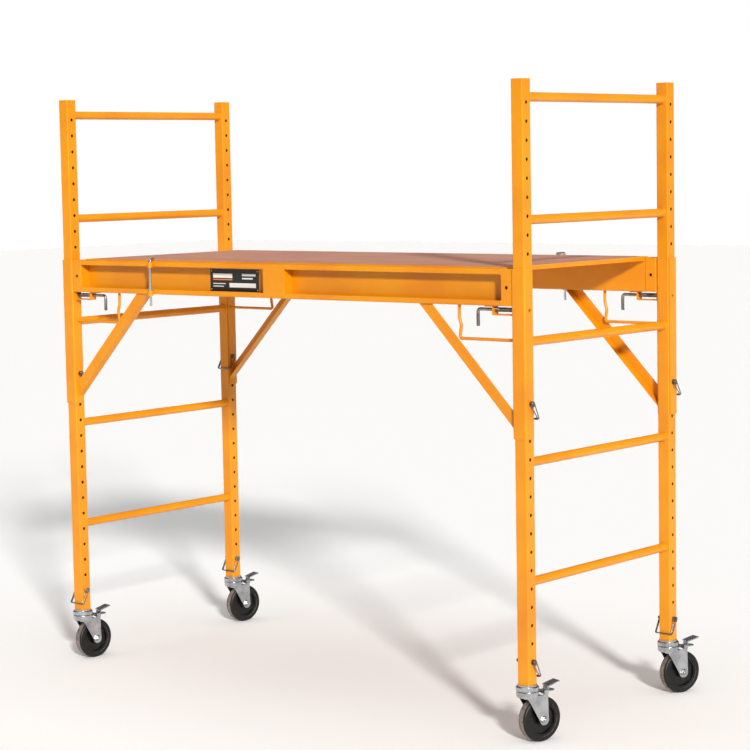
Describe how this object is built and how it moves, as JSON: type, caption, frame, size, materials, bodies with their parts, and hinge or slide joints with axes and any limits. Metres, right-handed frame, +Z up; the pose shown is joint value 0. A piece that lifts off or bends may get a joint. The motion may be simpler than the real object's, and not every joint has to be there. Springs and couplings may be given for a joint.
{
  "type": "baker scaffold",
  "caption": "Rolling scaffold: a plywood deck on steel side rails, hung at pin-set height between two ladder end frames on braked swivel casters",
  "frame": {"origin": "centre of the underside of the box round the whole scaffold, on the floor under the deck", "axes": "+X along the platform toward the right frame, +Y to the back rail, +Z up"},
  "size_m": [1.8872, 0.8483, 1.8161],
  "materials": {
    "yellow_paint": "orange-yellow powder coat, satin",
    "film_faced_plywood": "red-brown phenolic film on plywood",
    "bright_screws": "bright zinc",
    "label_plate": null,
    "zinc": "bright zinc plate, pressed steel",
    "black_wheel": "moulded phenolic, semi-gloss black",
    "black_tyre": "hard black tread",
    "pin_steel": "dull zinc",
    "spring_steel": "zinc-plated wire",
    "hook_chrome": "bright plated rod"
  },
  "bodies": {
    "platform": {"front_rail": "yellow_paint", "back_rail": "yellow_paint", "end_brackets": "yellow_paint", "rail_stiffeners": "yellow_paint", "leg_sleeves": "yellow_paint", "corner_braces": "yellow_paint", "pin_brackets": "yellow_paint", "lift_rods": "yellow_paint", "deck_frame": "yellow_paint", "deck_panel": "film_faced_plywood", "deck_screws": "bright_screws", "hook_bosses": "yellow_paint", "label_plate": "label_plate", "left_front_pin_spring": "spring_steel", "left_back_pin_spring": "spring_steel", "right_front_pin_spring": "spring_steel", "right_back_pin_spring": "spring_steel"},
    "left_frame": {"left_frame_front_post": "yellow_paint", "left_frame_back_post": "yellow_paint", "left_frame_rungs": "yellow_paint", "left_frame_caster_stems": "zinc"},
    "right_frame": {"right_frame_front_post": "yellow_paint", "right_frame_back_post": "yellow_paint", "right_frame_rungs": "yellow_paint", "right_frame_caster_stems": "zinc"},
    "left_front_swivel": {"left_front_caster_fork": "zinc", "left_front_caster_axle": "zinc"},
    "left_front_wheel": {"left_front_caster_wheel": "black_wheel", "left_front_caster_tyre": "black_tyre"},
    "left_front_brake": {"left_front_caster_brake_pedal": "zinc"},
    "left_front_caster_lock": {"left_front_caster_lock_pin": "pin_steel"},
    "left_front_sleeve_lock": {"left_front_sleeve_lock_pin": "pin_steel"},
    "left_front_spring_pin": {"left_front_spring_pin": "pin_steel"},
    "left_back_swivel": {"left_back_caster_fork": "zinc", "left_back_caster_axle": "zinc"},
    "left_back_wheel": {"left_back_caster_wheel": "black_wheel", "left_back_caster_tyre": "black_tyre"},
    "left_back_brake": {"left_back_caster_brake_pedal": "zinc"},
    "left_back_caster_lock": {"left_back_caster_lock_pin": "pin_steel"},
    "left_back_sleeve_lock": {"left_back_sleeve_lock_pin": "pin_steel"},
    "left_back_spring_pin": {"left_back_spring_pin": "pin_steel"},
    "right_front_swivel": {"right_front_caster_fork": "zinc", "right_front_caster_axle": "zinc"},
    "right_front_wheel": {"right_front_caster_wheel": "black_wheel", "right_front_caster_tyre": "black_tyre"},
    "right_front_brake": {"right_front_caster_brake_pedal": "zinc"},
    "right_front_caster_lock": {"right_front_caster_lock_pin": "pin_steel"},
    "right_front_sleeve_lock": {"right_front_sleeve_lock_pin": "pin_steel"},
    "right_front_spring_pin": {"right_front_spring_pin": "pin_steel"},
    "right_back_swivel": {"right_back_caster_fork": "zinc", "right_back_caster_axle": "zinc"},
    "right_back_wheel": {"right_back_caster_wheel": "black_wheel", "right_back_caster_tyre": "black_tyre"},
    "right_back_brake": {"right_back_caster_brake_pedal": "zinc"},
    "right_back_caster_lock": {"right_back_caster_lock_pin": "pin_steel"},
    "right_back_sleeve_lock": {"right_back_sleeve_lock_pin": "pin_steel"},
    "right_back_spring_pin": {"right_back_spring_pin": "pin_steel"},
    "front_hook": {"front_deck_hook": "hook_chrome"},
    "back_hook": {"back_deck_hook": "hook_chrome"}
  },
  "joints": [
    {"name": "left_frame_lift", "type": "slide", "parent": "platform", "child": "left_frame", "axis": [0, 0, 1], "range_m": [-0.5588, 0.3556]},
    {"name": "right_frame_lift", "type": "slide", "parent": "platform", "child": "right_frame", "axis": [0, 0, 1], "range_m": [-0.5588, 0.3556]},
    {"name": "left_front_caster_swivel", "type": "hinge", "parent": "left_frame", "child": "left_front_swivel", "pos_m": [-0.90995, -0.38815, 0.14], "axis": [0, 0, 1], "continuous": true},
    {"name": "left_front_wheel_spin", "type": "hinge", "parent": "left_front_swivel", "child": "left_front_wheel", "pos_m": [-0.90577, -0.34837, 0.0635], "axis": [-0.9945, 0.1045, 0], "continuous": true},
    {"name": "left_front_brake_press", "type": "hinge", "parent": "left_front_swivel", "child": "left_front_brake", "pos_m": [-0.90514, -0.34241, 0.1395], "axis": [-0.9945, 0.1045, 0], "range_deg": [0, 10]},
    {"name": "left_front_caster_lock_turn", "type": "hinge", "parent": "left_frame", "child": "left_front_caster_lock", "pos_m": [-0.90995, -0.38815, 0.2286], "axis": [1, 0, 0], "range_deg": [-110, 0]},
    {"name": "left_front_sleeve_lock_turn", "type": "hinge", "parent": "platform", "child": "left_front_sleeve_lock", "pos_m": [-0.90995, -0.38815, 0.9398], "axis": [1, 0, 0], "range_deg": [0, 110]},
    {"name": "left_front_pin_pull", "type": "slide", "parent": "platform", "child": "left_front_spring_pin", "axis": [1, 0, 0], "range_m": [0, 0.014], "stiffness_N_per_m": 1000, "springref_m": -0.01, "deforming": ["left_front_pin_spring"]},
    {"name": "left_back_caster_swivel", "type": "hinge", "parent": "left_frame", "child": "left_back_swivel", "pos_m": [-0.90995, 0.32065, 0.14], "axis": [0, 0, 1], "continuous": true},
    {"name": "left_back_wheel_spin", "type": "hinge", "parent": "left_back_swivel", "child": "left_back_wheel", "pos_m": [-0.903, 0.36004, 0.0635], "axis": [-0.9848, 0.1736, 0], "continuous": true},
    {"name": "left_back_brake_press", "type": "hinge", "parent": "left_back_swivel", "child": "left_back_brake", "pos_m": [-0.90196, 0.36595, 0.1395], "axis": [-0.9848, 0.1736, 0], "range_deg": [0, 10]},
    {"name": "left_back_caster_lock_turn", "type": "hinge", "parent": "left_frame", "child": "left_back_caster_lock", "pos_m": [-0.90995, 0.32065, 0.2286], "axis": [1, 0, 0], "range_deg": [-110, 0]},
    {"name": "left_back_sleeve_lock_turn", "type": "hinge", "parent": "platform", "child": "left_back_sleeve_lock", "pos_m": [-0.90995, 0.32065, 0.9398], "axis": [1, 0, 0], "range_deg": [-110, 0]},
    {"name": "left_back_pin_pull", "type": "slide", "parent": "platform", "child": "left_back_spring_pin", "axis": [1, 0, 0], "range_m": [0, 0.014], "stiffness_N_per_m": 1000, "springref_m": -0.01, "deforming": ["left_back_pin_spring"]},
    {"name": "right_front_caster_swivel", "type": "hinge", "parent": "right_frame", "child": "right_front_swivel", "pos_m": [0.89045, -0.38815, 0.14], "axis": [0, 0, 1], "continuous": true},
    {"name": "right_front_wheel_spin", "type": "hinge", "parent": "right_front_swivel", "child": "right_front_wheel", "pos_m": [0.90215, -0.3499, 0.0635], "axis": [-0.9563, 0.2924, 0], "continuous": true},
    {"name": "right_front_brake_press", "type": "hinge", "parent": "right_front_swivel", "child": "right_front_brake", "pos_m": [0.9039, -0.34416, 0.1395], "axis": [-0.9563, 0.2924, 0], "range_deg": [0, 10]},
    {"name": "right_front_caster_lock_turn", "type": "hinge", "parent": "right_frame", "child": "right_front_caster_lock", "pos_m": [0.89045, -0.38815, 0.2286], "axis": [1, 0, 0], "range_deg": [0, 110]},
    {"name": "right_front_sleeve_lock_turn", "type": "hinge", "parent": "platform", "child": "right_front_sleeve_lock", "pos_m": [0.89045, -0.38815, 0.9398], "axis": [1, 0, 0], "range_deg": [0, 110]},
    {"name": "right_front_pin_pull", "type": "slide", "parent": "platform", "child": "right_front_spring_pin", "axis": [-1, 0, 0], "range_m": [0, 0.014], "stiffness_N_per_m": 1000, "springref_m": -0.01, "deforming": ["right_front_pin_spring"]},
    {"name": "right_back_caster_swivel", "type": "hinge", "parent": "right_frame", "child": "right_back_swivel", "pos_m": [0.89045, 0.32065, 0.14], "axis": [0, 0, 1], "continuous": true},
    {"name": "right_back_wheel_spin", "type": "hinge", "parent": "right_back_swivel", "child": "right_back_wheel", "pos_m": [0.90608, 0.35746, 0.0635], "axis": [-0.9205, 0.3907, 0], "continuous": true},
    {"name": "right_back_brake_press", "type": "hinge", "parent": "right_back_swivel", "child": "right_back_brake", "pos_m": [0.90843, 0.36299, 0.1395], "axis": [-0.9205, 0.3907, 0], "range_deg": [0, 10]},
    {"name": "right_back_caster_lock_turn", "type": "hinge", "parent": "right_frame", "child": "right_back_caster_lock", "pos_m": [0.89045, 0.32065, 0.2286], "axis": [1, 0, 0], "range_deg": [-110, 0]},
    {"name": "right_back_sleeve_lock_turn", "type": "hinge", "parent": "platform", "child": "right_back_sleeve_lock", "pos_m": [0.89045, 0.32065, 0.9398], "axis": [1, 0, 0], "range_deg": [0, 110]},
    {"name": "right_back_pin_pull", "type": "slide", "parent": "platform", "child": "right_back_spring_pin", "axis": [-1, 0, 0], "range_m": [0, 0.014], "stiffness_N_per_m": 1000, "springref_m": -0.01, "deforming": ["right_back_pin_spring"]},
    {"name": "front_hook_turn", "type": "hinge", "parent": "platform", "child": "front_hook", "pos_m": [-0.52175, -0.41565, 1.25], "axis": [0, 0, 1], "range_deg": [-90, 60]},
    {"name": "back_hook_turn", "type": "hinge", "parent": "platform", "child": "back_hook", "pos_m": [0.50725, 0.34814, 1.25], "axis": [0, 0, 1], "range_deg": [-90, 90]}
  ]
}
